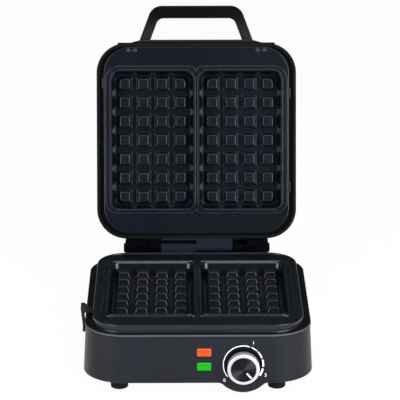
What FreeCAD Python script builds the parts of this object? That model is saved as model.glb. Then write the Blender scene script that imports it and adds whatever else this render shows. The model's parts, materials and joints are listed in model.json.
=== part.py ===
import FreeCAD, Part
import math
import os

from FreeCAD import Vector

os.makedirs("parts", exist_ok=True)

# Two-slice waffle maker, lid open. Millimetres, X right, Y back, Z up.
# Origin: middle of the plane under the feet, below the middle of the lower plate.

# Base sizes
housing_width = 246.8
housing_depth = 243.6
housing_height = 51.25
housing_corner = 44.5
housing_draft = 2.8
housing_wall = 2.6
frame_lip = 0.8
frame_thickness = 3.0
frame_round = 1.35
rib_depth = 5.0
rib_thickness = 2.0
cover_thickness = 2.0
foot_diameter = 19.0
foot_height = 14.05
foot_inset_x = 38.9
foot_inset_y = 24.8
fit_gap = 0.3
running_gap = 0.05
snap = 0.01
recess_length = 1.1
recess_width = 0.28

# Cooking plates: the wells lie side by side, the pegs stand in each well
lower_inset_x = 10.4
lower_inset_y = 8.8
lower_corner = 33.5
upper_inset_x = 8.0
upper_inset_y = 4.0
upper_corner = 31.0
flange_thickness = 3.0
lower_skirt = 7.2
bead_height = 1.0
bead_width = 2.5
bead_round = 0.8
bead_margin_x = 7.9
bead_margin_y = 6.4
bead_outer_corner = 16.0
bead_inner_corner = 7.0
lip_width = 2.6
well_inner_x = 3.5
well_rim_x = 15.4
well_rim_y = 33.4
well_corner = 10.0
well_depth = 15.0
well_slope = 4.0
well_floor = 3.0
peg_columns = 4
peg_rows = 7
peg_margin_x = 8.5
peg_margin_y = 6.6
peg_channel = 4.2
peg_taper = 6.0
peg_height = 10.0
peg_corner = 1.4
peg_outer_corner = 5.0
peg_round = 1.0
rim_gap = 0.6
dimple_radius = 2.6
dimple_depth = 1.4
dimple_inset = 36.0
stud_height = 0.8
stud_inset = 28.4
mark_setback = 4.2

# Lid
lid_inset_x = 8.4
lid_inset_front = 9.8
lid_inset_rear = 8.3
lid_corner = 34.0
lid_height = 39.0
lid_wall = 3.5
lid_top_wall = 2.5
lid_edge_round = 9.0
lid_rim_step = 0.6
lid_open_angle = 106.0
lid_frame_thickness = 3.2
lid_frame_hole_gap = 1.2
lid_post_radius = 4.5
frame_screw_gap = 3.65
frame_screw_inset_y = 4.0
frame_screw_radius = 1.6
frame_screw_grip = 12.0

# Hinge
hinge_offset = 10.5
hinge_rise = 2.0
hinge_pin_radius = 3.0
knuckle_radius = 4.4
knuckle_rise = 1.2
tower_inner_x = 58.5
tower_outer_x = 82.3
tower_radius = 10.0
stop_gap = 0.3
web_drop = 1.8
pocket_x = 64.5
pocket_rise = 4.8
pocket_radius = 4.6
pocket_floor = 7.6
lid_knuckles = ((-57.8, -43.0), (0.0, 46.0))
bracket_drop = 23.8
bracket_round = 4.0
cap_thickness = 2.0
cap_radius = 5.4
cap_round = 1.0
hinge_screw_x = 66.0
hinge_screw_drop = 11.8
hinge_screw_radius = 1.8
hinge_screw_grip = 12.0
hinge_screw_gap = 0.2
lid_bracket_sheet = 2.0
lid_bracket_rise = 18.0
flap_half = 66.0
flap_reach = 1.0
flap_thickness = 2.0
lid_screw_rise = 12.0
lid_hinge_screw_x = (-50.4, 10.0, 36.0)

# Handle, measured from the lid's front edge and sides
handle_reach = 43.4
handle_foot_inset = 48.0
handle_narrowing = 16.3
handle_bar = 14.2
handle_leg = 12.3
handle_thickness = 16.0
handle_rise = 10.0
handle_corner = 16.0
handle_inner_corner = 9.0
handle_edge_round = 3.0
handle_screw_radius = 2.0
handle_screw_grip = 14.0
boss_thickness = 4.0
boss_end_thickness = 0.7
boss_full_inset = 3.5
boss_step_out = 8.5
boss_end_out = 23.5
boss_sink = 4.0
boss_drop = 8.5
boss_over = 3.0

# Dial and lamps on the front wall
dial_x = 47.8
dial_z = 34.3
bulge_radius = 30.9
bulge_blend = 8.0
dial_radius = 17.1
dial_core_radius = 15.6
dial_skirt_radius = 19.3
dial_skirt_depth = 1.2
dial_cap_radius = 13.6
dial_depth = 12.5
dial_gap = 1.6
dial_ring_depth = 9.5
dial_cap_proud = 0.7
flute_count = 48
flute_radius = 0.55
shaft_radius = 3.0
shaft_cover = 2.5
shaft_sink = 2.0
dial_core_setback = 1.0
dial_ring_round = 0.9
dial_groove_inner = 14.7
dial_groove_outer = 15.1
dial_groove_depth = 0.35
dial_cap_round = 0.4
flute_setback = 2.0
pointer_setback = 1.2
pointer_angle = -48.0
pointer_inner = 5.0
pointer_width = 1.5
pointer_rise = 0.3
pointer_sink = 0.7
lens_x = 6.25
lens_width = 14.8
lens_height = 8.6
power_lens_z = 48.1
ready_lens_z = 32.35
lens_proud = 1.2
lens_corner = 1.4
lens_bevel = 0.9

# Heating
element_radius = 3.3
element_inset_x = 28.6
element_inset_y = 30.6
element_corner = 26.0
element_gap = 0.3
pan_sheet = 1.0
pan_gap = 2.4
pan_depth = 20.8
pan_ledge = 1.2
pan_flange = 5.0
pan_hole_gap = 1.0

# Plate latches on the left side
latch_y = -54.0
latch_width = 13.0
latch_pin_radius = 1.0
latch_eye_radius = 2.0
latch_thickness = 3.4
latch_pivot_rise = 38.0
latch_pivot_out = 1.2
latch_foot_gap = 0.5
latch_shoulder = 6.5
latch_lean = 2.6
latch_bite = 1.5
latch_slot_gap = 0.3
latch_swing_room = 1.4
latch_nose_drop = 6.2
latch_rise = 1.2
latch_tip_round = 1.5
latch_ear_rise = 0.5
spring_wire = 0.3
spring_turns = 4
latch_nose_thickness = 1.8
latch_spring_half = 3.0
hook_places = (-54.0, 54.0)

# Values worked out from the sizes above
foot_x = housing_width / 2 - foot_inset_x
foot_y = housing_depth / 2 - foot_inset_y
lower_width = housing_width - 2 * lower_inset_x
lower_depth = housing_depth - 2 * lower_inset_y
lid_width = housing_width - 2 * lid_inset_x
lid_front = lid_inset_front - housing_depth / 2
lid_rear = housing_depth / 2 - lid_inset_rear
lid_depth = lid_rear - lid_front
lid_middle = (lid_front + lid_rear) / 2
upper_width = lid_width - 2 * upper_inset_x
upper_depth = -2 * (lid_front + upper_inset_y)
well_outer_x = lower_width / 2 - well_rim_x
well_half_depth = lower_depth / 2 - well_rim_y
bead_half_width = well_outer_x + bead_margin_x
bead_half_depth = well_half_depth + bead_margin_y
peg_pitch_x = (well_outer_x - well_inner_x - peg_margin_x) / peg_columns
peg_pitch_y = (2 * well_half_depth - peg_margin_y) / peg_rows
peg_base = min(peg_pitch_x, peg_pitch_y) - peg_channel
peg_top = peg_base - peg_taper
housing_bottom = foot_height
housing_top = housing_bottom + housing_height
frame_top = housing_top + frame_thickness
pan_top = frame_top + pan_sheet
plate_z = pan_top + lower_skirt
rim_z = plate_z + rim_gap
plate_body_depth = well_depth + well_floor
plate_body_half_x = well_outer_x + well_floor
plate_body_half_y = well_half_depth + well_floor
element_half_width = plate_body_half_x - element_inset_x
element_half_depth = plate_body_half_y - element_inset_y
hinge_y = lid_rear + hinge_offset
hinge_z = plate_z + hinge_rise
lid_rim_z = rim_z + lid_rim_step
lid_top_z = rim_z + lid_height
upper_flange_back = rim_z + bead_height + flange_thickness
lid_frame_top = upper_flange_back + lid_frame_thickness
latch_nose_z = plate_z - latch_nose_drop
latch_nose_top = latch_nose_z + latch_nose_thickness
handle_foot_half = lid_width / 2 - handle_foot_inset
handle_top_half = handle_foot_half - handle_narrowing
handle_screw_x = handle_foot_half - handle_leg / 2
boss_full_half = handle_foot_half - boss_full_inset
boss_step_half = handle_foot_half + boss_step_out
boss_end_half = handle_foot_half + boss_end_out
bracket_low = housing_top - bracket_drop
hinge_screw_z = housing_top - hinge_screw_drop
frame_screw_x = handle_screw_x + 2 * handle_screw_radius + lid_post_radius + frame_screw_gap
frame_screw_y = upper_depth / 2 - frame_screw_inset_y
frame_screw_seat = upper_flange_back + frame_screw_radius + fit_gap


def save(name, shape):
    shape.exportStep("parts/" + name + ".step")


def box(x0, x1, y0, y1, z0, z1):
    return Part.makeBox(x1 - x0, y1 - y0, z1 - z0, Vector(x0, y0, z0))


def rod(x, y, z, radius, length, axis):
    return Part.makeCylinder(radius, length, Vector(x, y, z), Vector(*axis))


def outline(x0, x1, y0, y1, radii, z):
    # Rounded rectangle; radii go front left, front right, back right, back left
    a, b, c, d = radii
    k = math.sqrt(0.5)
    p = [(x0 + a, y0), (x1 - b, y0), (x1, y0 + b), (x1, y1 - c),
         (x1 - c, y1), (x0 + d, y1), (x0, y1 - d), (x0, y0 + a)]
    mids = [(x1 - b + b * k, y0 + b - b * k), (x1 - c + c * k, y1 - c + c * k),
            (x0 + d - d * k, y1 - d + d * k), (x0 + a - a * k, y0 + a - a * k)]
    points = [Vector(x, y, z) for x, y in p]
    bends = [Vector(x, y, z) for x, y in mids]
    edges = []
    for i in range(4):
        start = points[2 * i]
        end = points[2 * i + 1]
        after = points[(2 * i + 2) % 8]
        edges.append(Part.makeLine(start, end))
        edges.append(Part.Arc(end, bends[i], after).toShape())
    return Part.Wire(edges)


def ring_outline(width, depth, corner, z):
    return outline(-width / 2, width / 2, -depth / 2, depth / 2, (corner,) * 4, z)


def prism(wire, height):
    return Part.Face(wire).extrude(Vector(0, 0, height))


def slab(width, depth, corner, z0, z1):
    return prism(ring_outline(width, depth, corner, z0), z1 - z0)


def lid_slab(inset, z0, z1):
    shape = slab(lid_width - 2 * inset, lid_depth - 2 * inset, lid_corner - inset, z0, z1)
    shape.translate(Vector(0, lid_middle, 0))
    return shape


def taper(lower_wire, upper_wire):
    return Part.makeLoft([lower_wire, upper_wire], True, True)


def join(*shapes):
    return shapes[0].fuse(list(shapes[1:])).removeSplitter()


def group(shapes):
    return Part.makeCompound(shapes)


def polygon(points):
    return Part.Face(Part.makePolygon(list(points) + [points[0]]))


def round_edges(shape, radius, test):
    picked = [e for e in shape.Edges if test(e.CenterOfMass)]
    return shape.makeFillet(radius, picked)


def open_lid(shape):
    # The lid's pieces are drawn closed, then swung open about the hinge pin
    swung = shape.copy()
    swung.rotate(Vector(0, hinge_y, hinge_z), Vector(1, 0, 0), -lid_open_angle)
    return swung


def screw(x, y, z, axis, head_radius, head_height, shank_radius, length):
    # Pan head with a cross recess; z is the seat, the head stands along the axis
    away = Vector(*axis)
    seat = Vector(x, y, z)
    head = Part.makeCylinder(head_radius, head_height, seat, away)
    shank = Part.makeCylinder(shank_radius, length, seat - away * length, away)
    slot_size = head_radius * recess_length
    slot_width = head_radius * recess_width
    slot = Part.makeBox(slot_size, slot_width, head_height)
    slot.translate(Vector(-slot_size / 2, -slot_width / 2, head_height / 2))
    across = slot.copy()
    across.rotate(Vector(0, 0, 0), Vector(0, 0, 1), 90)
    cross = slot.fuse(across)
    cross.Placement = FreeCAD.Placement(seat, FreeCAD.Rotation(Vector(0, 0, 1), away))
    return head.fuse(shank).cut(cross)


# Cooking plates, drawn with the face up at z = 0 and the wells going down
def pair_outline(grow, z):
    # Bead and lip contours around one well; the other is its mirror image
    x0 = well_inner_x - grow
    x1 = well_outer_x + grow
    y1 = well_half_depth + grow
    return outline(x0, x1, -y1, y1, (well_corner + grow,) * 4, z)


def bead_outline(inset, z):
    y1 = bead_half_depth - inset
    inner = bead_inner_corner
    outer = bead_outer_corner - inset
    return outline(0, bead_half_width - inset, -y1, y1, (inner, outer, outer, inner), z)


def mirrored(shape):
    return shape.mirror(Vector(0, 0, 0), Vector(1, 0, 0))


def both_sides(shape):
    return join(shape, mirrored(shape))


def cooking_plate(width, depth, corner):
    face = -bead_height
    flange = slab(width, depth, corner, face - flange_thickness, face)
    flange = round_edges(flange, bead_round, lambda c: c.z > face - snap)
    body = slab(2 * plate_body_half_x, 2 * plate_body_half_y, well_corner + well_floor,
                -plate_body_depth, face)
    bead = prism(bead_outline(0, face), bead_height)
    bead = round_edges(bead, bead_round, lambda c: c.z > -snap)
    inside = prism(bead_outline(bead_width, face), bead_height)
    slope = taper(bead_outline(bead_width, -bead_round), bead_outline(bead_width - bead_round, 0))
    bead = bead.cut([inside, slope])
    lips = prism(pair_outline(lip_width, face), bead_height)
    lips = round_edges(lips, bead_round, lambda c: c.z > -snap)
    plate = join(flange, body, both_sides(bead.fuse(lips)))
    well = taper(pair_outline(-well_slope, -well_depth), pair_outline(0, 0))
    mouth = taper(pair_outline(-bead_round, -2 * bead_round), pair_outline(bead_round, 0))
    return plate.cut([well, mouth, mirrored(well), mirrored(mouth)])


def plate_peg(radii):
    half = peg_base / 2
    low = outline(-half, half, -half, half, radii, -well_depth)
    half = peg_top / 2
    high = outline(-half, half, -half, half, radii, peg_height - well_depth)
    return round_edges(taper(low, high), peg_round, lambda c: c.z > peg_height - well_depth - snap)


def plate_pegs():
    # The pegs of both wells stand on the wells' floors; those in a well's corners are rounder outside
    middle = (well_inner_x + well_outer_x) / 2
    last_column = peg_columns - 1
    last_row = peg_rows - 1
    corners = ((0, 0), (last_column, 0), (last_column, last_row), (0, last_row))
    pegs = []
    for i in range(peg_columns):
        for j in range(peg_rows):
            peg = plate_peg([peg_outer_corner if corner == (i, j) else peg_corner for corner in corners])
            peg.translate(Vector(middle + (i - last_column / 2) * peg_pitch_x,
                                 (j - last_row / 2) * peg_pitch_y, 0))
            pegs.append(peg)
            pegs.append(mirrored(peg))
    return group(pegs)


def face_up(shape):
    shape.translate(Vector(0, 0, plate_z))
    return shape


def face_down(shape):
    shape.rotate(Vector(0, 0, 0), Vector(0, 1, 0), 180)
    shape.translate(Vector(0, 0, rim_z))
    return shape


def lower_plate():
    plate = cooking_plate(lower_width, lower_depth, lower_corner)
    skirt = slab(lower_width, lower_depth, lower_corner, -lower_skirt, 0)
    skirt = skirt.cut(slab(lower_width - 2 * bead_width, lower_depth - 2 * bead_width,
                           lower_corner - bead_width, -lower_skirt, 0))
    skirt = round_edges(skirt, bead_round, lambda c: c.z > -snap)
    plate = join(plate, skirt)
    low = latch_nose_z - latch_slot_gap - plate_z
    high = latch_nose_top + latch_slot_gap - plate_z
    half = latch_width / 2 + latch_slot_gap
    reach = lower_width / 2 + bead_width
    inner = reach - 3 * bead_width
    cuts = [box(-reach, -inner, latch_y - half, latch_y + half, low, high + latch_swing_room)]
    for y in hook_places:
        cuts.append(box(inner, reach, y - half, y + half, low, high))
    return plate.cut(cuts)


def upper_plate():
    # Two marks in each front corner: a shallow dimple and a low stud
    plate = cooking_plate(upper_width, upper_depth, upper_corner)
    y = mark_setback - upper_depth / 2
    dimples = []
    for side in (-1, 1):
        x = side * (upper_width / 2 - stud_inset)
        stud = rod(x, y, -bead_height, dimple_radius, stud_height, (0, 0, 1))
        stud = round_edges(stud, stud_height / 2, lambda c: c.z > stud_height - bead_height - snap)
        plate = join(plate, stud)
        x = side * (upper_width / 2 - dimple_inset)
        dimples.append(rod(x, y, -bead_height - dimple_depth, dimple_radius, dimple_depth, (0, 0, 1)))
    return plate.cut(dimples)


save("lower_cooking_plate", face_up(lower_plate()))
save("lower_plate_pegs", face_up(plate_pegs()))
save("upper_cooking_plate", open_lid(face_down(upper_plate())))
save("upper_plate_pegs", open_lid(face_down(plate_pegs())))


# Base housing: a drafted skirt, with a round bulge under the dial
def housing_half_width(z):
    return housing_width / 2 - housing_draft * (z - housing_bottom) / housing_height


def housing_half_depth(z):
    return housing_depth / 2 - housing_draft * (z - housing_bottom) / housing_height


def housing_outline(z, inset):
    width = 2 * (housing_half_width(z) - inset)
    depth = 2 * (housing_half_depth(z) - inset)
    inset_corner = housing_corner - housing_draft * (z - housing_bottom) / housing_height - inset
    return ring_outline(width, depth, inset_corner, z)


def housing_solid(z0, z1, inset):
    return taper(housing_outline(z0, inset), housing_outline(z1, inset))


bulge_bottom = dial_z - bulge_radius
front_y = -housing_half_depth(dial_z)


def bulge_prism():
    drop = dial_z - housing_bottom + bulge_blend
    reach = math.sqrt((bulge_radius + bulge_blend) ** 2 - drop ** 2)
    share = bulge_blend / (bulge_radius + bulge_blend)
    y = front_y - housing_wall
    top = housing_bottom + housing_wall

    def at(x, z):
        return Vector(dial_x + x, y, z)

    blend_z = housing_bottom - bulge_blend
    touch_x = reach * (1 - share)
    touch_z = blend_z + drop * share
    turn = math.atan2(drop, reach) / 2 + math.pi / 4
    mid_x = reach - bulge_blend * math.cos(turn)
    mid_z = blend_z + bulge_blend * math.sin(turn)
    left = Part.Arc(at(-reach, housing_bottom), at(-mid_x, mid_z), at(-touch_x, touch_z))
    belly = Part.Arc(at(-touch_x, touch_z), at(0, bulge_bottom), at(touch_x, touch_z))
    right = Part.Arc(at(touch_x, touch_z), at(mid_x, mid_z), at(reach, housing_bottom))
    sides = Part.makePolygon([at(reach, housing_bottom), at(reach, top), at(-reach, top),
                              at(-reach, housing_bottom)])
    wire = Part.Wire([left.toShape(), belly.toShape(), right.toShape()] + sides.Edges)
    return Part.Face(wire).extrude(Vector(0, 4 * housing_wall, 0))


post_radius = 5.0
post_sink = 1.5
post_room = 12.0
post_y = housing_depth / 4
post_x = housing_half_width(housing_top) - housing_wall - post_radius + post_sink
cover_top = housing_bottom + cover_thickness
post_top = housing_top - post_room
latch_pivot_z = housing_bottom + latch_pivot_rise
latch_pivot_x = -housing_half_width(latch_pivot_z) - latch_pivot_out
ear_width = 2.4
ear_half = latch_width / 2 + fit_gap
bush_radius = 4.6
gland_x = 0.0
gland_z = 27.0
gland_radius = 7.0
lens_hole_gap = 0.15


def lens_block(z, grow, y0, y1):
    return box(lens_x - lens_width / 2 - grow, lens_x + lens_width / 2 + grow, y0, y1,
               z - lens_height / 2 - grow, z + lens_height / 2 + grow)


def latch_ears():
    shapes = []
    for side in (-1, 1):
        y = latch_y + side * (ear_half + ear_width / 2)
        low = latch_pivot_z - latch_eye_radius - latch_ear_rise
        high = latch_pivot_z + latch_eye_radius + latch_ear_rise
        inner = housing_wall / 2 - housing_half_width(latch_pivot_z)
        shapes.append(box(latch_pivot_x - latch_eye_radius, inner,
                          y - ear_width / 2, y + ear_width / 2, low, high))
    return shapes


def latch_pin_hole(radius):
    length = 2 * (ear_half + ear_width)
    return rod(latch_pivot_x, latch_y - length / 2, latch_pivot_z, radius, length, (0, 1, 0))


def base_housing():
    low = bulge_bottom - housing_wall
    wall = housing_solid(low, housing_top, 0).cut(housing_solid(low, housing_top, housing_wall))
    keep = box(-housing_width, housing_width, -housing_depth, housing_depth, housing_bottom, housing_top)
    shell = wall.common(keep.fuse(bulge_prism()))
    posts = []
    bores = []
    for x in (-post_x, post_x):
        for y in (-post_y, post_y):
            posts.append(rod(x, y, cover_top, post_radius, post_top - cover_top, (0, 0, 1)))
            bores.append(rod(x, y, cover_top, cover_screw_radius, cover_screw_length, (0, 0, 1)))
    inside = housing_solid(housing_bottom, housing_top, housing_wall / 2)
    posts = [p.common(inside) for p in posts]
    shell = join(shell, *posts, *latch_ears())
    bores.append(latch_pin_hole(latch_pin_radius))
    bores.append(rod(latch_pivot_x, latch_y - ear_half, latch_pivot_z, latch_eye_radius + fit_gap, 2 * ear_half,
                     (0, 1, 0)))
    deep = 6 * housing_wall
    for z in (power_lens_z, ready_lens_z):
        bores.append(lens_block(z, lens_hole_gap, front_y - deep, front_y + deep))
    bores.append(rod(dial_x, front_y - deep, dial_z, bush_radius + fit_gap, 2 * deep, (0, 1, 0)))
    back = housing_half_depth(gland_z)
    bores.append(rod(gland_x, back - deep, gland_z, gland_radius + fit_gap / 2, 2 * deep, (0, 1, 0)))
    for x in (-hinge_screw_x, hinge_screw_x):
        bores.append(rod(x, back - deep, hinge_screw_z, hinge_screw_radius + hinge_screw_gap, 2 * deep,
                         (0, 1, 0)))
    return shell.cut(bores)


cover_screw_radius = 1.6
cover_screw_length = 12.0
save("base_housing", base_housing())


# Top frame: the ledge around the lower plate, with a rib that locates it in the housing
pan_half_x = plate_body_half_x + pan_gap + pan_sheet
pan_half_y = plate_body_half_y + pan_gap + pan_sheet
pan_corner = well_corner + well_floor + pan_gap + pan_sheet
frame_width = 2 * (housing_half_width(housing_top) + frame_lip)
frame_depth = 2 * (housing_half_depth(housing_top) + frame_lip)
frame_corner = housing_corner - housing_draft + frame_lip


def top_frame_plate():
    plate = slab(frame_width, frame_depth, frame_corner, housing_top, frame_top)
    return round_edges(plate, frame_round, lambda c: c.z > frame_top - snap)


def base_top_frame():
    inset = housing_wall + fit_gap
    low = housing_top - rib_depth
    rib = housing_solid(low, housing_top, inset)
    rib = rib.cut(housing_solid(low, housing_top, inset + rib_thickness))
    frame = join(top_frame_plate(), rib)
    hole = slab(2 * (pan_half_x + fit_gap), 2 * (pan_half_y + fit_gap), pan_corner + fit_gap, low, frame_top)
    posts = [rod(x, y, low, post_radius + fit_gap, rib_depth, (0, 0, 1))
             for x in (-post_x, post_x) for y in (-post_y, post_y)]
    return frame.cut([hole] + posts)


save("base_top_frame", base_top_frame())


# Bottom cover with cooling slots, its screws and the feet
vent_count = 9
vent_pitch = 9.0
vent_width = 3.0
vent_length = 70.0
foot_pin_radius = 2.5
foot_pin_height = cover_thickness + 3.0
foot_round = 1.5
feet = [(x, y) for x in (-foot_x, foot_x) for y in (-foot_y, foot_y)]
cover_screws = [(x, y) for x in (-post_x, post_x) for y in (-post_y, post_y)]


def bottom_cover():
    inset = housing_wall + fit_gap
    plate = housing_solid(housing_bottom, cover_top, inset)
    cuts = []
    for i in range(vent_count):
        y = (i - (vent_count - 1) / 2) * vent_pitch
        slot = slab(vent_length, vent_width, vent_width / 2 - snap, housing_bottom, cover_top)
        slot.translate(Vector(0, y, 0))
        cuts.append(slot)
    for x, y in cover_screws:
        cuts.append(rod(x, y, housing_bottom, cover_screw_radius + running_gap, cover_thickness, (0, 0, 1)))
    for x, y in feet:
        cuts.append(rod(x, y, housing_bottom, foot_pin_radius + running_gap, cover_thickness, (0, 0, 1)))
    return plate.cut(cuts)


def rubber_foot(x, y):
    pad = rod(x, y, 0, foot_diameter / 2, foot_height, (0, 0, 1))
    pad = round_edges(pad, foot_round, lambda c: c.z < snap)
    pin = rod(x, y, foot_height, foot_pin_radius, foot_pin_height, (0, 0, 1))
    return join(pad, pin)


save("bottom_cover", bottom_cover())
save("rubber_feet", group([rubber_foot(x, y) for x, y in feet]))
screw_head = 2 * cover_screw_radius
save("bottom_cover_screws", group([
    screw(x, y, housing_bottom, (0, 0, -1), screw_head, cover_screw_radius, cover_screw_radius,
          cover_screw_length + cover_thickness) for x, y in cover_screws]))


# Heating: a reflector pan under each plate, and a rod element in it
pan_floor = pan_top - pan_depth
element_z = plate_z - plate_body_depth - element_gap - element_radius
terminal_x = 14.0
terminal_bend = 8.0
terminal_length = 9.0
upper_terminal_length = 4.0


def reflector_pan(top):
    flange = slab(lower_width - 2 * pan_ledge, lower_depth - 2 * pan_ledge, lower_corner - pan_ledge,
                  top - pan_sheet, top)
    floor = top - pan_depth
    bowl = slab(2 * pan_half_x, 2 * pan_half_y, pan_corner, floor - pan_sheet, top)
    hollow = slab(2 * (pan_half_x - pan_sheet), 2 * (pan_half_y - pan_sheet), pan_corner - pan_sheet,
                  floor, top)
    pan = join(flange, bowl).cut(hollow)
    holes = [rod(x, element_half_depth, floor - pan_sheet, element_radius + pan_hole_gap, pan_sheet, (0, 0, 1))
             for x in (-terminal_x, terminal_x)]
    return pan.cut(holes)


def heating_element(z, down, length):
    # The rod runs round the plate; both ends turn away from it as terminals
    hx = element_half_width
    hy = element_half_depth
    r = element_corner
    k = math.sqrt(0.5)
    b = terminal_bend
    ends = [Vector(terminal_x, hy, z - down * (b + length)),
            Vector(terminal_x, hy, z - down * b), Vector(terminal_x + b, hy, z)]
    bend = Vector(terminal_x + b - b * k, hy, z - down * (b - b * k))
    edges = [Part.makeLine(ends[0], ends[1]), Part.Arc(ends[1], bend, ends[2]).toShape()]
    corners = [((hx - r, hy), (hx - r + r * k, hy - r + r * k), (hx, hy - r)),
               ((hx, -hy + r), (hx - r + r * k, -hy + r - r * k), (hx - r, -hy)),
               ((-hx + r, -hy), (-hx + r - r * k, -hy + r - r * k), (-hx, -hy + r)),
               ((-hx, hy - r), (-hx + r - r * k, hy - r + r * k), (-hx + r, hy))]
    last = ends[2]
    for start, middle, end in corners:
        points = [Vector(x, y, z) for x, y in (start, middle, end)]
        edges.append(Part.makeLine(last, points[0]))
        edges.append(Part.Arc(*points).toShape())
        last = points[2]
    mirror_ends = [Vector(-p.x, p.y, p.z) for p in ends]
    edges.append(Part.makeLine(last, mirror_ends[2]))
    edges.append(Part.Arc(mirror_ends[2], Vector(-bend.x, bend.y, bend.z), mirror_ends[1]).toShape())
    edges.append(Part.makeLine(mirror_ends[1], mirror_ends[0]))
    path = Part.Wire(edges)
    profile = Part.Wire(Part.makeCircle(element_radius, ends[0], Vector(0, 0, 1)))
    return path.makePipeShell([profile], True, False)


clip_length = 9.0
clip_side = 2.5
clip_places = [(0, -element_half_depth, 0), (-element_half_width, 0, 90), (element_half_width, 0, 90),
               (-(terminal_x + element_half_width) / 2, element_half_depth, 0),
               ((terminal_x + element_half_width) / 2, element_half_depth, 0)]


def element_clip(x, y, turn, z, seat):
    # Saddle that stands on the pan and cradles the rod
    half = element_radius + clip_side
    low = min(z, seat)
    high = max(z, seat)
    block = box(-clip_length / 2, clip_length / 2, -half, half, low, high)
    trough = rod(-clip_length / 2, 0, z, element_radius + running_gap, clip_length, (1, 0, 0))
    clip = block.cut(trough)
    clip.rotate(Vector(0, 0, 0), Vector(0, 0, 1), turn)
    clip.translate(Vector(x, y, 0))
    return clip


save("lower_reflector", reflector_pan(pan_top))
save("lower_heating_element", heating_element(element_z, 1, terminal_length))
save("lower_element_clips", group([element_clip(x, y, a, element_z, pan_floor) for x, y, a in clip_places]))


# Fixed hooks at the right: their noses reach into slots in the lower plate's skirt
hook_back = 3.0


def lower_plate_hook(y):
    half = latch_width / 2
    inner = lower_width / 2 - bead_width - fit_gap
    post = box(inner - hook_back, inner, y - half, y + half, pan_top, latch_nose_top)
    nose = box(inner - hook_back, inner + bead_width - latch_slot_gap, y - half, y + half,
               latch_nose_z, latch_nose_top)
    return join(post, nose)


save("lower_plate_hooks", group([lower_plate_hook(y) for y in hook_places]))


# Lower latch: a lever that swings out on a pin at its foot
latch_top_z = plate_z + latch_rise


def lower_latch():
    x0 = latch_pivot_x
    z0 = latch_pivot_z
    half = latch_width / 2
    out = latch_thickness / 2
    inner_top = x0 - latch_lean + out
    nose_tip = -lower_width / 2 + latch_bite
    top = latch_top_z
    nose_top = latch_nose_top
    side = [(x0 - out, z0), (x0 - out - latch_lean, top), (inner_top, top),
            (inner_top + latch_shoulder, nose_top), (nose_tip, nose_top), (nose_tip, latch_nose_z),
            (inner_top, latch_nose_z), (x0 + latch_pivot_out - latch_foot_gap, z0)]
    points = [Vector(x, latch_y - half, z) for x, z in side]
    blade = polygon(points).extrude(Vector(0, latch_width, 0))
    eye = rod(x0, latch_y - half, z0, latch_eye_radius, latch_width, (0, 1, 0))
    lever = join(blade, eye)
    lever = round_edges(lever, latch_tip_round, lambda c: c.z > top - snap)
    spring_room = rod(x0, latch_y - latch_spring_half, z0, latch_eye_radius + fit_gap,
                      2 * latch_spring_half, (0, 1, 0))
    lever = lever.cut(spring_room)
    return lever.cut(latch_pin_hole(latch_pin_radius + running_gap))


def latch_spring(x, y, z):
    # Torsion spring: a few turns round the pin
    coil_radius = latch_pin_radius + 2 * running_gap + spring_wire
    pitch = 2 * (latch_spring_half - spring_wire - fit_gap) / spring_turns
    helix = Part.makeHelix(pitch, pitch * spring_turns, coil_radius)
    profile = Part.Wire(Part.makeCircle(spring_wire, Vector(coil_radius, 0, 0), Vector(0, 1, 0)))
    coil = helix.makePipeShell([profile], True, True)
    coil.rotate(Vector(0, 0, 0), Vector(1, 0, 0), -90)
    coil.translate(Vector(x, y - latch_spring_half + spring_wire + fit_gap, z))
    return coil


save("lower_latch", lower_latch())
save("lower_latch_pin", latch_pin_hole(latch_pin_radius))
save("lower_latch_spring", latch_spring(latch_pivot_x, latch_y, latch_pivot_z))


# Hinge: a bracket behind the base with two towers and a knuckle, a pin through all
beam_top = hinge_z - knuckle_radius - knuckle_rise
bracket_front = hinge_y - tower_radius
bracket_back = hinge_y + tower_radius
base_knuckles = ((lid_knuckles[0][1] + fit_gap, lid_knuckles[1][0] - fit_gap),
                 (lid_knuckles[1][1] + fit_gap, tower_inner_x))
pin_bore = hinge_pin_radius + running_gap


def hinge_tower(x0, x1):
    # Round about the pin; the slanted back stops the open lid
    low = beam_top - knuckle_rise
    reach = hinge_offset - stop_gap
    turn = math.radians(180 - lid_open_angle)
    back_z = (reach - tower_radius * math.cos(turn)) / math.sin(turn)
    side = [(0, low - hinge_z), (tower_radius, low - hinge_z), (tower_radius, back_z),
            (reach * math.cos(turn), reach * math.sin(turn)), (0, 0)]
    stop = polygon([Vector(x0, hinge_y + y, hinge_z + z) for y, z in side]).extrude(Vector(x1 - x0, 0, 0))
    barrel = rod(x0, hinge_y, hinge_z, tower_radius, x1 - x0, (1, 0, 0))
    return join(barrel, stop, box(x0, x1, bracket_front, hinge_y, low, hinge_z))


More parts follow.
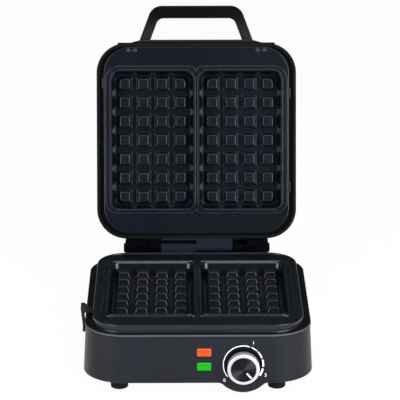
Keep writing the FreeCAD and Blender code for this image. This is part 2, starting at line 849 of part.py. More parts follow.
def base_hinge_bracket():
    half = tower_outer_x
    block = box(-half, half, bracket_front, bracket_back, bracket_low, beam_top)
    block = round_edges(block, bracket_round,
                        lambda c: c.y > bracket_back - snap and abs(c.z - bracket_low) < snap)
    pieces = [block, hinge_tower(-half, -tower_inner_x), hinge_tower(tower_inner_x, half)]
    for x0, x1 in base_knuckles:
        pieces.append(rod(x0, hinge_y, hinge_z, knuckle_radius, x1 - x0, (1, 0, 0)))
        pieces.append(box(x0, x1, hinge_y - knuckle_radius, hinge_y + knuckle_radius,
                          beam_top - knuckle_rise, hinge_z))
    bracket = join(*pieces)
    ledge = slab(frame_width + fit_gap, frame_depth + fit_gap, frame_corner, 0, frame_top + fit_gap)
    upper = box(-half, half, 0, bracket_back, housing_top - fit_gap, frame_top + fit_gap)
    lower = housing_solid(housing_bottom, housing_top, 0)
    bracket = bracket.cut([ledge.common(upper), lower])
    bores = [rod(-half, hinge_y, hinge_z, pin_bore, 2 * half, (1, 0, 0))]
    for side in (-1, 1):
        bores.append(rod(side * hinge_screw_x, housing_half_depth(hinge_screw_z) - housing_wall, hinge_screw_z,
                         hinge_screw_radius, hinge_screw_grip, (0, 1, 0)))
        bores.append(rod(side * pocket_x, bracket_front - pocket_floor, hinge_z + pocket_rise, pocket_radius,
                         tower_radius, (0, 1, 0)))
    return bracket.cut(bores)


save("base_hinge_bracket", base_hinge_bracket())
inside_wall = housing_half_depth(hinge_screw_z) - housing_wall - fit_gap
save("base_hinge_screws", group([
    screw(x, inside_wall, hinge_screw_z, (0, -1, 0), 2 * hinge_screw_radius, hinge_screw_radius,
          hinge_screw_radius, hinge_screw_grip) for x in (-hinge_screw_x, hinge_screw_x)]))
save("hinge_pin", rod(-tower_outer_x, hinge_y, hinge_z, hinge_pin_radius, 2 * tower_outer_x, (1, 0, 0)))


def hinge_cap(side):
    cap = rod(side * tower_outer_x, hinge_y, hinge_z, cap_radius, cap_thickness, (side, 0, 0))
    edge = side * (tower_outer_x + cap_thickness)
    return round_edges(cap, cap_round, lambda c: abs(c.x - edge) < snap)


save("hinge_pin_caps", group([hinge_cap(-1), hinge_cap(1)]))


# Thermostat behind the dial, held by a bracket on the bottom cover
stat_radius = 14.0
stat_depth = 13.0
stat_gap = 6.0
stat_front = front_y + housing_wall + stat_gap
bracket_sheet = 1.5
bracket_half = 17.0
bracket_foot = 16.0
nut_radius = 7.0
nut_thickness = 3.0
save("thermostat_body", join(
    rod(dial_x, stat_front + bracket_sheet, dial_z, stat_radius, stat_depth, (0, 1, 0)),
    rod(dial_x, stat_front - nut_thickness - 1.0, dial_z, bush_radius, nut_thickness + 1.0 + bracket_sheet,
        (0, 1, 0))).cut(rod(dial_x, front_y, dial_z, shaft_radius + running_gap,
                            stat_gap + housing_wall + stat_depth, (0, 1, 0))))


def thermostat_bracket():
    plate = box(dial_x - bracket_half, dial_x + bracket_half, stat_front, stat_front + bracket_sheet,
                cover_top, dial_z + bracket_half)
    foot = box(dial_x - bracket_half, dial_x + bracket_half, stat_front, stat_front + bracket_foot,
               cover_top, cover_top + bracket_sheet)
    hole = rod(dial_x, stat_front, dial_z, bush_radius, bracket_sheet, (0, 1, 0))
    return join(plate, foot).cut(hole)


def thermostat_nut():
    points = []
    for i in range(6):
        turn = math.radians(60 * i)
        points.append(Vector(dial_x + nut_radius * math.cos(turn), stat_front - nut_thickness,
                             dial_z + nut_radius * math.sin(turn)))
    nut = polygon(points).extrude(Vector(0, nut_thickness, 0))
    return nut.cut(rod(dial_x, stat_front - nut_thickness, dial_z, bush_radius, nut_thickness, (0, 1, 0)))


save("thermostat_bracket", thermostat_bracket())
save("thermostat_nut", thermostat_nut())


# Dial: fluted ring, core, spun cap and pointer on the thermostat's shaft
dial_back = front_y - dial_gap
dial_front = dial_back - dial_depth
ring_front = dial_front
ring_back = dial_front + dial_ring_depth
core_front = dial_front + dial_core_setback
cap_front = dial_front - dial_cap_proud
shaft_end = core_front + shaft_cover
pointer_outer = dial_cap_radius - pointer_setback


def dial_rod(y, radius, length):
    return rod(dial_x, y, dial_z, radius, length, (0, 1, 0))


def dial_ring():
    ring = dial_rod(ring_front, dial_radius, ring_back - ring_front)
    ring = round_edges(ring, dial_ring_round, lambda c: c.y < ring_front + snap)
    flutes = []
    for i in range(flute_count):
        turn = 2 * math.pi * i / flute_count
        x = dial_x + dial_radius * math.cos(turn)
        z = dial_z + dial_radius * math.sin(turn)
        flutes.append(rod(x, ring_front + flute_setback, z, flute_radius, ring_back - ring_front, (0, 1, 0)))
    groove = dial_rod(ring_front, dial_groove_outer, dial_groove_depth)
    groove = groove.cut(dial_rod(ring_front, dial_groove_inner, dial_groove_depth))
    ring = ring.cut(flutes + [groove])
    return ring.cut([dial_rod(core_front, dial_core_radius, ring_back - core_front),
                     dial_rod(ring_front, dial_cap_radius, core_front - ring_front)])


def dial_core():
    core = dial_rod(core_front, dial_core_radius, dial_back - core_front)
    skirt = dial_rod(ring_back, dial_radius, dial_back - ring_back)
    plate = dial_rod(dial_back - dial_skirt_depth, dial_skirt_radius, dial_skirt_depth)
    core = join(core, skirt, plate)
    return core.cut(dial_rod(shaft_end, shaft_radius, dial_back - shaft_end))


def pointer_block():
    shape = box(pointer_inner, pointer_outer, cap_front - pointer_rise, cap_front + pointer_sink,
                -pointer_width / 2, pointer_width / 2)
    shape.rotate(Vector(0, 0, 0), Vector(0, 1, 0), -pointer_angle)
    shape.translate(Vector(dial_x, 0, dial_z))
    return shape


def dial_cap():
    cap = dial_rod(cap_front, dial_cap_radius, core_front - cap_front)
    cap = round_edges(cap, dial_cap_round, lambda c: c.y < cap_front + snap)
    return cap.cut(pointer_block())


save("dial_ring", dial_ring())
save("dial_core", dial_core())
save("dial_cap", dial_cap())
save("dial_pointer", pointer_block())
shaft_back = stat_front + bracket_sheet + stat_depth - shaft_sink
save("thermostat_shaft", dial_rod(shaft_end, shaft_radius, shaft_back - shaft_end))


# Indicator lenses in the front wall, with a holder and two lamps behind
holder_margin = 4.0
holder_depth = 9.0
lens_depth = 3.0
lamp_radius = 2.5
lamp_length = 10.0
wall_inner = front_y + housing_wall
holder_back = wall_inner + holder_depth


def lens(z):
    face = -housing_half_depth(z) - lens_proud
    block = lens_block(z, 0, face, wall_inner + lens_depth)
    block = round_edges(block, lens_corner, lambda c: min(abs(c.x - lens_x - lens_width / 2),
                        abs(c.x - lens_x + lens_width / 2)) < snap
                        and min(abs(c.z - z - lens_height / 2), abs(c.z - z + lens_height / 2)) < snap)
    front = [e for e in block.Edges if e.CenterOfMass.y < face + snap]
    return block.makeChamfer(lens_bevel, front)


def lamp(z):
    return rod(lens_x, wall_inner + lens_depth + lens_hole_gap, z, lamp_radius, lamp_length, (0, 1, 0))


def indicator_holder():
    half = lens_width / 2 + holder_margin
    low = ready_lens_z - lens_height / 2 - holder_margin
    high = power_lens_z + lens_height / 2 + holder_margin
    block = box(lens_x - half, lens_x + half, front_y - holder_depth, holder_back, low, high)
    block = block.common(housing_solid(housing_bottom, housing_top, housing_wall))
    cuts = []
    for z in (power_lens_z, ready_lens_z):
        back = wall_inner + lens_depth + lens_hole_gap
        cuts.append(lens_block(z, lens_hole_gap, front_y - holder_depth, back))
        cuts.append(rod(lens_x, wall_inner, z, lamp_radius + running_gap, lamp_length + lens_depth, (0, 1, 0)))
    return block.cut(cuts)


save("power_lens", lens(power_lens_z))
save("ready_lens", lens(ready_lens_z))
save("indicator_holder", indicator_holder())
save("indicator_lamps", group([lamp(power_lens_z), lamp(ready_lens_z)]))


# Supply: gland in the back wall, terminal block, thermal fuse and wires
gland_flange = 2.5
gland_length = 16.0
gland_bore = 3.6
gland_seat = 0.9
gland_wall = 1.6
gland_inside = 4.0
back_y = housing_half_depth(gland_z)
block_x = -34.0
block_y = 44.0
block_length = 36.0
block_depth = 14.0
block_height = 13.0
clamp_pitch = 11.25
clamp_depth = 6.0
clamp_radius = 2.6
fuse_radius = 3.5
fuse_length = 16.0
wire_radius = 1.2
fuse_x = 34.0
stat_back = stat_front + bracket_sheet + stat_depth
wire_gap = 0.6
wire_spread = 6.0
wire_lead = 8.0
bend_share = 0.45
terminal_end = element_z - terminal_bend - terminal_length - wire_gap
block_top = cover_top + block_height


def cord_gland():
    inner = rod(gland_x, back_y - housing_wall - gland_inside, gland_z, gland_radius,
                housing_wall + gland_inside, (0, 1, 0))
    cone = Part.makeCone(gland_radius + gland_flange, gland_bore + gland_wall, gland_length,
                         Vector(gland_x, back_y + gland_seat, gland_z), Vector(0, 1, 0))
    seat = rod(gland_x, back_y - housing_wall, gland_z, gland_radius, housing_wall + 1.0, (0, 1, 0))
    body = join(inner, seat, cone)
    return body.cut(rod(gland_x, back_y - gland_length, gland_z, gland_bore, 3 * gland_length, (0, 1, 0)))


def terminal_block():
    body = box(block_x - block_length / 2, block_x + block_length / 2, block_y - block_depth / 2,
               block_y + block_depth / 2, cover_top, block_top)
    wells = []
    for i in (-1, 0, 1):
        wells.append(rod(block_x + i * clamp_pitch, block_y, block_top - clamp_depth, clamp_radius, clamp_depth,
                         (0, 0, 1)))
    return body.cut(wells)


def wire(points):
    # Straight runs joined by arcs about as large as the runs allow
    spots = [Vector(*point) for point in points]
    edges = []
    last = spots[0]
    for before, here, after in zip(spots, spots[1:], spots[2:]):
        back = before - here
        ahead = after - here
        run = bend_share * min(back.Length, ahead.Length)
        back.normalize()
        ahead.normalize()
        half = back.getAngle(ahead) / 2
        radius = run * math.tan(half)
        start = here + back * run
        middle = here + (back + ahead).normalize() * (radius / math.sin(half) - radius)
        edges.append(Part.makeLine(last, start))
        last = here + ahead * run
        edges.append(Part.Arc(start, middle, last).toShape())
    edges.append(Part.makeLine(last, spots[-1]))
    profile = Part.Wire(Part.makeCircle(wire_radius, spots[0], spots[1] - spots[0]))
    return Part.Wire(edges).makePipeShell([profile], True, False)


save("cord_gland", cord_gland())
save("terminal_block", terminal_block())
save("thermal_fuse", rod(fuse_x - fuse_length / 2, 0, pan_floor - pan_sheet - fuse_radius - running_gap,
                         fuse_radius, fuse_length, (1, 0, 0)))
block_front = block_y - block_depth / 2 - wire_gap
block_rear = block_y + block_depth / 2 + wire_gap
mid_z = cover_top + block_height / 2
lead_z = terminal_end - wire_lead
stat_rear = stat_back + wire_gap
gland_end = back_y - housing_wall - gland_inside
save("base_wiring", group([
    wire([(block_x + clamp_pitch, block_rear, mid_z), (block_x + clamp_pitch, block_rear + wire_lead, mid_z),
          (-terminal_x, element_half_depth, lead_z), (-terminal_x, element_half_depth, terminal_end)]),
    wire([(dial_x - wire_spread, stat_rear, dial_z), (dial_x - wire_spread, stat_rear + wire_lead, dial_z),
          (terminal_x + wire_lead, element_half_depth - 2 * wire_lead, mid_z),
          (terminal_x, element_half_depth, lead_z), (terminal_x, element_half_depth, terminal_end)]),
    wire([(block_x + wire_spread, block_front, mid_z), (block_x + wire_spread, block_front - wire_lead, mid_z),
          (dial_x + wire_spread, stat_rear + wire_lead, dial_z - wire_spread),
          (dial_x + wire_spread, stat_rear, dial_z - wire_spread)]),
    wire([(gland_x, gland_end, gland_z), (gland_x - wire_lead, gland_end - 2 * wire_lead, gland_z),
          (block_x - wire_spread, block_rear + wire_lead, mid_z), (block_x - wire_spread, block_rear, mid_z)])]))


# Lid, drawn closed: shell with a boss for the handle, an inner frame that carries the plate
lid_inner_width = lid_width - 2 * lid_wall
lid_ceiling = lid_top_z - lid_top_wall
handle_low = lid_rim_z + handle_rise
handle_high = handle_low + handle_thickness
handle_mid = (handle_low + handle_high) / 2
upper_latch_y = -66.0
upper_latch_arm = 12.0
upper_latch_blade = 1.6
upper_latch_gap = 0.7
upper_latch_width = 11.0
upper_nose = 0.8
upper_pivot_x = -upper_width / 2 - upper_latch_gap - upper_latch_blade / 2
upper_nose_z = rim_z + bead_height - upper_nose - 2 * running_gap
upper_pivot_z = upper_nose_z + upper_latch_arm
upper_ear_half = upper_latch_width / 2 + fit_gap
plate_screw_places = [(x, y) for x in (-frame_screw_x, frame_screw_x) for y in (-frame_screw_y, frame_screw_y)]


def lid_housing():
    shell = lid_slab(0, lid_rim_z, lid_top_z)
    shell = round_edges(shell, lid_edge_round, lambda c: c.z > lid_top_z - snap)
    hollow = lid_slab(lid_wall, lid_rim_z, lid_ceiling)
    hollow = round_edges(hollow, lid_edge_round - lid_wall, lambda c: c.z > lid_ceiling - snap)
    shell = shell.cut(hollow)
    posts = [rod(x, y, lid_frame_top, lid_post_radius, lid_ceiling - lid_frame_top + 0.5, (0, 0, 1))
             for x, y in plate_screw_places]
    shell = join(shell, *posts)
    bores = [rod(x, y, lid_frame_top, frame_screw_radius, frame_screw_grip, (0, 0, 1))
             for x, y in plate_screw_places]
    for x in (-handle_screw_x, handle_screw_x):
        bores.append(rod(x, lid_front, handle_mid, handle_screw_radius, lid_wall, (0, 1, 0)))
    for x in lid_hinge_screw_x:
        bores.append(rod(x, lid_rear - lid_wall, lid_hinge_screw_z, hinge_screw_radius, lid_wall, (0, 1, 0)))
    return shell.cut(bores)


def upper_pin(radius, half):
    return rod(upper_pivot_x, upper_latch_y - half, upper_pivot_z, radius, 2 * half, (0, 1, 0))


def lid_inner_frame():
    plate = lid_slab(lid_wall + fit_gap, upper_flange_back, lid_frame_top)
    gap = lid_frame_hole_gap
    hole = slab(2 * (plate_body_half_x + gap), 2 * (plate_body_half_y + gap), well_corner + well_floor + gap,
                upper_flange_back, lid_frame_top)
    cuts = [hole]
    for x, y in plate_screw_places:
        cuts.append(rod(x, y, upper_flange_back, frame_screw_radius + running_gap, lid_frame_thickness,
                        (0, 0, 1)))
        cuts.append(rod(x, y, upper_flange_back, 2 * frame_screw_radius + fit_gap,
                        frame_screw_seat - upper_flange_back, (0, 0, 1)))
    half = upper_latch_width / 2 + fit_gap
    cuts.append(box(-lid_inner_width / 2 + fit_gap, upper_pivot_x + upper_latch_blade, upper_latch_y - half,
                    upper_latch_y + half, upper_flange_back, lid_frame_top))
    frame = plate.cut(cuts)
    ears = []
    for side in (-1, 1):
        y = upper_latch_y + side * (upper_ear_half + ear_width / 2)
        ears.append(box(upper_pivot_x - latch_eye_radius, upper_pivot_x + latch_eye_radius, y - ear_width / 2,
                        y + ear_width / 2, upper_flange_back, upper_pivot_z + latch_eye_radius))
    frame = join(frame, *ears)
    return frame.cut(upper_pin(latch_pin_radius, upper_ear_half + ear_width))


def upper_latch():
    half = upper_latch_width / 2
    x0 = upper_pivot_x - upper_latch_blade / 2
    x1 = upper_pivot_x + upper_latch_blade / 2
    nose_tip = -upper_width / 2 + latch_bite
    blade = box(x0, x1, upper_latch_y - half, upper_latch_y + half, upper_nose_z, upper_pivot_z)
    nose = box(x0, nose_tip, upper_latch_y - half, upper_latch_y + half, upper_nose_z, upper_nose_z + upper_nose)
    eye = upper_pin(latch_eye_radius, half)
    room = upper_pin(latch_eye_radius + fit_gap, latch_spring_half)
    return join(blade, nose, eye).cut([room, upper_pin(latch_pin_radius + running_gap, half)])


def upper_plate_hook(y):
    half = upper_latch_width / 2
    inner = upper_width / 2 + fit_gap
    outer = inner + 2 * upper_nose
    post = box(inner, outer, y - half, y + half, upper_nose_z, upper_flange_back)
    nose = box(upper_width / 2 - latch_bite, outer, y - half, y + half, upper_nose_z, upper_nose_z + upper_nose)
    return join(post, nose)


def rounded_corners(points, radii, z):
    # Closed outline through corners, each rounded by its own radius, or sharp at 0
    edges = []
    count = len(points)
    starts = []
    ends = []
    mids = []
    for i in range(count):
        here = Vector(points[i][0], points[i][1], z)
        before = Vector(points[i - 1][0], points[i - 1][1], z)
        after = Vector(points[(i + 1) % count][0], points[(i + 1) % count][1], z)
        to_before = (before - here).normalize()
        to_after = (after - here).normalize()
        half_angle = to_before.getAngle(to_after) / 2
        run = radii[i] / math.tan(half_angle)
        bisector = (to_before + to_after).normalize()
        starts.append(here + to_before * run)
        ends.append(here + to_after * run)
        mids.append(here + bisector * (radii[i] / math.sin(half_angle) - radii[i]))
    for i in range(count):
        if radii[i] > 0:
            edges.append(Part.Arc(starts[i], mids[i], ends[i]).toShape())
        edges.append(Part.makeLine(ends[i], starts[(i + 1) % count]))
    return Part.Wire(edges)


def handle_boss():
    # Low wedge on the lid's front wall that carries the handle's feet
    thin = lid_front - boss_end_thickness
    thick = lid_front - boss_thickness
    back = lid_front + boss_sink
    plan = [(-boss_end_half, back), (-boss_end_half, thin), (-boss_step_half, thin), (-boss_full_half, thick),
            (boss_full_half, thick), (boss_step_half, thin), (boss_end_half, thin), (boss_end_half, back)]
    low = handle_low - boss_drop
    boss = polygon([Vector(x, y, low) for x, y in plan]).extrude(Vector(0, 0, handle_high + boss_over - low))
    return boss.cut(lid_slab(0, lid_rim_z, lid_top_z))


def lid_handle():
    back = lid_front
    front = lid_front - handle_reach
    lean = (handle_foot_half - handle_top_half) / handle_reach
    inner_front = front + handle_bar
    inner_foot = handle_foot_half - handle_leg
    inner_top = inner_foot - lean * (handle_reach - handle_bar)
    outer = [(-handle_foot_half, back), (-handle_top_half, front), (handle_top_half, front),
             (handle_foot_half, back)]
    inner = [(-inner_foot, back), (-inner_top, inner_front), (inner_top, inner_front), (inner_foot, back)]
    corners = (0, handle_corner, handle_corner, 0)
    loop = prism(rounded_corners(outer, corners, handle_low), handle_thickness)
    inner_corners = (0, handle_inner_corner, handle_inner_corner, 0)
    loop = loop.cut(prism(rounded_corners(inner, inner_corners, handle_low), handle_thickness))
    loop = round_edges(loop, handle_edge_round, lambda c: c.y < back - snap
                       and min(abs(c.z - handle_low), abs(c.z - handle_high)) < snap)
    bores = [rod(x, back - handle_screw_grip + lid_wall, handle_mid, handle_screw_radius,
                 handle_screw_grip, (0, 1, 0)) for x in (-handle_screw_x, handle_screw_x)]
    return join(loop, handle_boss()).cut(bores)


lid_hinge_screw_z = hinge_z + lid_screw_rise


def lid_hinge_bracket():
    # A sheet on the lid's rear wall, two knuckles, and a flap that closes the view behind them
    x0 = lid_knuckles[0][0]
    x1 = lid_knuckles[1][1]
    low = hinge_z - web_drop
    high = hinge_z + knuckle_radius
    sheet_top = hinge_z + lid_bracket_rise
    flap = box(-flap_half, flap_half, lid_rear, hinge_y + flap_reach, sheet_top - flap_thickness, sheet_top)
    flap = round_edges(flap, flap_thickness / 3, lambda c: c.y > hinge_y + flap_reach - snap)
    pieces = [flap, box(x0, -x0, lid_rear, lid_rear + lid_bracket_sheet, low, sheet_top)]
    for a, b in lid_knuckles:
        pieces.append(rod(a, hinge_y, hinge_z, knuckle_radius, b - a, (1, 0, 0)))
        pieces.append(box(a, b, lid_rear, hinge_y, low, high))
    bracket = join(*pieces)
    bores = [rod(x0, hinge_y, hinge_z, pin_bore, x1 - x0, (1, 0, 0))]
    for x in lid_hinge_screw_x:
        bores.append(rod(x, lid_rear, lid_hinge_screw_z, hinge_screw_radius, lid_bracket_sheet, (0, 1, 0)))
    return bracket.cut(bores)


def upper_reflector():
    seat = lid_frame_top
    flange = slab(2 * (pan_half_x + pan_sheet), 2 * (pan_half_y + pan_flange), pan_corner, seat,
                  seat + pan_sheet)
    ceiling = seat + pan_depth
    bowl = slab(2 * pan_half_x, 2 * pan_half_y, pan_corner, seat, ceiling + pan_sheet)
    hollow = slab(2 * (pan_half_x - pan_sheet), 2 * (pan_half_y - pan_sheet), pan_corner - pan_sheet,
                  seat, ceiling)
    pan = join(flange, bowl).cut(hollow)
    holes = [rod(x, element_half_depth, ceiling, element_radius + pan_hole_gap, pan_sheet, (0, 0, 1))
             for x in (-terminal_x, terminal_x)]
    return pan.cut(holes)


upper_element_z = rim_z + plate_body_depth + element_gap + element_radius
lid_pan_ceiling = lid_frame_top + pan_depth
save("lid_housing", open_lid(lid_housing()))
save("lid_inner_frame", open_lid(lid_inner_frame()))
save("lid_frame_screws", open_lid(group([
    screw(x, y, frame_screw_seat, (0, 0, -1), 2 * frame_screw_radius, frame_screw_radius, frame_screw_radius,
          frame_screw_grip + lid_frame_top - frame_screw_seat) for x, y in plate_screw_places])))
save("upper_reflector", open_lid(upper_reflector()))
save("upper_heating_element", open_lid(heating_element(upper_element_z, -1, upper_terminal_length)))
save("upper_element_clips", open_lid(group([
    element_clip(x, y, a, upper_element_z, lid_pan_ceiling) for x, y, a in clip_places])))
save("upper_plate_hooks", open_lid(group([upper_plate_hook(y) for y in hook_places])))
save("upper_latch", open_lid(upper_latch()))
save("upper_latch_pin", open_lid(upper_pin(latch_pin_radius, upper_ear_half + ear_width)))
save("upper_latch_spring", open_lid(latch_spring(upper_pivot_x, upper_latch_y, upper_pivot_z)))
save("lid_handle", open_lid(lid_handle()))
save("handle_screws", open_lid(group([
    screw(x, lid_front + lid_wall, handle_mid, (0, 1, 0), 2 * handle_screw_radius, handle_screw_radius,
          handle_screw_radius, handle_screw_grip) for x in (-handle_screw_x, handle_screw_x)])))
save("lid_hinge_bracket", open_lid(lid_hinge_bracket()))
save("lid_hinge_screws", open_lid(group([
    screw(x, lid_rear + lid_bracket_sheet, lid_hinge_screw_z, (0, 1, 0), 2 * hinge_screw_radius,
          hinge_screw_radius, hinge_screw_radius, lid_bracket_sheet + lid_wall) for x in lid_hinge_screw_x])))
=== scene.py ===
import json
import math

import bmesh
import bpy
from mathutils import Matrix, Vector


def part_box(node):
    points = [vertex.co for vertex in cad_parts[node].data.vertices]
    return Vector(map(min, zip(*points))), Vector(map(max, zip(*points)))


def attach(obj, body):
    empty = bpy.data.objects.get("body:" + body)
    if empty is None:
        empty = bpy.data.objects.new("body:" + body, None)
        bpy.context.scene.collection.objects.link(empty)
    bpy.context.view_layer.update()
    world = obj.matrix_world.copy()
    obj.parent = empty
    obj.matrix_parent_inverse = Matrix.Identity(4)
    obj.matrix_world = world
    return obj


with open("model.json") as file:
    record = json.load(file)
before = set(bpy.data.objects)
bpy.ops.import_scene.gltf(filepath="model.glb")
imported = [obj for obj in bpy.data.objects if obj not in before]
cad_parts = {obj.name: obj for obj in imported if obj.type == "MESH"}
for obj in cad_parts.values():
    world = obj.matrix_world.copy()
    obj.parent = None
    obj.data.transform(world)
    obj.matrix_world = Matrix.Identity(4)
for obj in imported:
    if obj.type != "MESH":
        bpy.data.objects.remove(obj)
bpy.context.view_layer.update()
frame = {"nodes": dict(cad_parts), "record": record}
nodes = frame["nodes"]
mm = 0.001
print("frame loaded:", len(nodes), "nodes")


# one shader socket, so that node maths reads as plain sums
class Sock:
    def __init__(self, finish, out):
        self.finish = finish
        self.out = out

    def math(self, operation, a, b=None):
        values = {0: a} if b is None else {0: a, 1: b}
        return self.finish.add("ShaderNodeMath", {"operation": operation}, values)

    def __add__(self, other):
        return self.math("ADD", self, other)

    def __radd__(self, other):
        return self.math("ADD", other, self)

    def __sub__(self, other):
        return self.math("SUBTRACT", self, other)

    def __rsub__(self, other):
        return self.math("SUBTRACT", other, self)

    def __mul__(self, other):
        return self.math("MULTIPLY", self, other)

    def __truediv__(self, other):
        return self.math("DIVIDE", self, other)

    def __pow__(self, other):
        return self.math("POWER", self, other)

    def call(self, operation, other=None):
        return self.math(operation, self, other)

    def wave(self, operation):
        return self.call(operation) * 0.5 + 0.5   # from 0 to 1

    def part(self, name):
        return Sock(self.finish, self.out.node.outputs[name])


edgeLook = {"samples": 8, "openReach": 3, "turned": (0.01, 0.16), "open": (0.55, 0.8)}
colourMix = {"first": 6, "second": 7, "result": 2}   # where a mix node keeps its colours


# one material, or the world, and its node tree
class Finish:
    def __init__(self, name, library=bpy.data.materials):
        self.block = library.new(name)
        self.block.use_nodes = True
        self.tree = self.block.node_tree
        self.shader = self.tree.nodes.get("Principled BSDF")

    def add(self, kind, settings=None, sockets=None):
        node = self.tree.nodes.new(kind)
        for key, value in (settings or {}).items():
            setattr(node, key, value)
        for key, value in (sockets or {}).items():
            self.plug(node.inputs[key], value)
        return Sock(self, node.outputs[0])

    def plug(self, socket, value):
        if isinstance(value, Sock):
            self.tree.links.new(value.out, socket)
        else:
            socket.default_value = value

    def set(self, **values):
        for key, value in values.items():
            self.plug(self.shader.inputs[key.replace("_", " ")], value)

    def close(self, shader):
        output = [node for node in self.tree.nodes if node.type.startswith("OUTPUT")][0]
        self.tree.links.new(shader.out, output.inputs["Surface"])

    def place(self):
        return self.add("ShaderNodeTexCoord").part("Object")   # moves with the piece

    def axes(self):
        return self.add("ShaderNodeSeparateXYZ", None, {0: self.place()})

    def seenBare(self):
        # 1 for what the eye, a mirror or a glass sees, 0 for light that falls on other things
        rays = self.add("ShaderNodeLightPath")
        seen = rays.part("Is Camera Ray").call("MAXIMUM", rays.part("Is Glossy Ray"))
        return seen.call("MAXIMUM", rays.part("Is Transmission Ray"))

    def noise(self, scale, detail=2.0, rough=0.5, where=None):
        return self.add("ShaderNodeTexNoise", None, {
            "Vector": where or self.place(), "Scale": scale, "Detail": detail, "Roughness": rough})

    def band(self, value, low, high, bottom=0.0, top=1.0):
        return self.add("ShaderNodeMapRange", {"clamp": True}, {
            "Value": value, "From Min": low, "From Max": high, "To Min": bottom, "To Max": top})

    def mix(self, amount, first, second):
        node = self.tree.nodes.new("ShaderNodeMix")
        node.data_type = "RGBA"
        self.plug(node.inputs["Factor"], amount)
        self.plug(node.inputs[colourMix["first"]], first)
        self.plug(node.inputs[colourMix["second"]], second)
        return Sock(self, node.outputs[colourMix["result"]])

    def bump(self, height, strength, distance):
        return self.add("ShaderNodeBump", None, {
            "Height": height, "Strength": strength, "Distance": distance})

    def edges(self, reach):
        # 1 on the outer edges of a form, 0 on its flats and in its inner corners
        rounded = self.add("ShaderNodeBevel", {"samples": edgeLook["samples"]}, {"Radius": reach})
        flat = self.add("ShaderNodeNewGeometry").part("Normal")
        agree = self.add("ShaderNodeVectorMath", {"operation": "DOT_PRODUCT"}, {0: rounded, 1: flat})
        free = self.add("ShaderNodeAmbientOcclusion", {"samples": edgeLook["samples"]},
                        {"Distance": reach * edgeLook["openReach"]})
        turned = self.band(1 - agree.part("Value"), *edgeLook["turned"])
        return turned * self.band(free.part("AO"), *edgeLook["open"])


def rgb(red, green, blue):
    # colour as seen on screen, 0 to 255, turned into the linear value a shader takes
    def linear(value):
        value = value / 255
        return value / 12.92 if value <= 0.04045 else ((value + 0.055) / 1.055) ** 2.4
    return (linear(red), linear(green), linear(blue), 1.0)


noiseMiddle = 0.5
skinGrain = {"driftDetail": 3.0, "driftBand": (0.3, 0.7), "grainDetail": 2.0, "grainRough": 0.6,
             "fleckSpread": 0.6, "fleckDetail": 1.0, "fleckBand": (0.62, 0.72), "edgeWearShineSpread": 6,
             "edgeWearShineBand": (0.25, 0.6, 0.5, 1.0), "zoneLeast": 0.7, "zoneGrain": 0.6, "bumpDepth": 0.2 * mm}


# moulded or painted skins: fine grain, slow tone drift and uneven gloss, outer edges painted pale as wear and
# as painted highlight, a zone in another colour if asked
def grainedSkin(name, look, toneAndHighlightZone=None):
    skin = Finish(name)
    drift = skin.noise(look["driftScale"], skinGrain["driftDetail"])
    grain = skin.noise(look["grainScale"], skinGrain["grainDetail"], skinGrain["grainRough"])
    spots = skin.noise(look["grainScale"] * skinGrain["fleckSpread"], skinGrain["fleckDetail"])
    fleck = skin.band(spots, *skinGrain["fleckBand"])
    tone = skin.mix(skin.band(drift, *skinGrain["driftBand"]), rgb(*look["dark"]), rgb(*look["light"]))
    tone = skin.mix(fleck * look["fleck"], tone, rgb(*look["fleckAndEdgeShineColour"]))
    patches = skin.noise(look["driftScale"] * skinGrain["edgeWearShineSpread"])
    # edge wear and painted highlight: outer edges are mixed toward the pale fleck colour so that they read as
    # lit
    wornAndShinyEdges = skin.edges(look["edgeReach"]) * skin.band(patches, *skinGrain["edgeWearShineBand"])
    tone = skin.mix(wornAndShinyEdges * look["edgeWearAndShine"], tone, rgb(*look["fleckAndEdgeShineColour"]))
    if toneAndHighlightZone:
        # a masked zone mixed toward its own colour: a painted highlight on the handle legs and the rim edge,
        # the barrel's own tone on the hinge
        amount = toneAndHighlightZone(skin) * (skinGrain["zoneLeast"] + grain * skinGrain["zoneGrain"])
        tone = skin.mix(amount, tone, rgb(*look["zoneToneAndHighlight"]))
    uneven = (drift - noiseMiddle) * look["roughDrift"]
    rough = look["rough"] + uneven + (grain - noiseMiddle) * look["roughGrain"]
    skin.set(Base_Color=tone, Roughness=rough,
             Normal=skin.bump(grain, look["bump"], skinGrain["bumpDepth"]))
    skin.set(Specular_IOR_Level=look["gloss"])
    return skin.block


shellLook = {"dark": (15, 18, 25), "light": (19, 22, 30), "driftScale": 9.0, "grainScale": 1500.0,
             "fleck": 0.12, "fleckAndEdgeShineColour": (78, 81, 94), "rough": 0.38, "roughDrift": 0.10,
             "roughGrain": 0.10, "bump": 0.06, "gloss": 0.22, "edgeReach": 0.8 * mm, "edgeWearAndShine": 0.35}
lidLook = dict(shellLook, dark=(5, 6, 7), light=(9, 10, 12), gloss=0.1, edgeWearAndShine=0.1,
               fleckAndEdgeShineColour=(46, 46, 50))
coatLook = {"dark": (4, 8, 15), "light": (7, 13, 22), "driftScale": 14.0, "grainScale": 2100.0,
            "fleck": 0.18, "fleckAndEdgeShineColour": (70, 75, 88), "rough": 0.21, "roughDrift": 0.05,
            "roughGrain": 0.08, "bump": 0.05, "gloss": 0.46, "edgeReach": 0.7 * mm, "edgeWearAndShine": 0.7}
pegLook = dict(coatLook, dark=(8, 12, 20), light=(12, 17, 27), fleck=0.07, fleckAndEdgeShineColour=(108, 112, 124),
               gloss=0.38, edgeReach=0.55 * mm, edgeWearAndShine=0.85)
frameLook = {"dark": (3, 4, 4), "light": (7, 8, 9), "driftScale": 12.0, "grainScale": 1700.0,
             "fleck": 0.15, "fleckAndEdgeShineColour": (52, 52, 56), "rough": 0.5, "roughDrift": 0.08,
             "roughGrain": 0.14, "bump": 0.16, "gloss": 0.14, "edgeReach": 0.6 * mm, "edgeWearAndShine": 0.15}
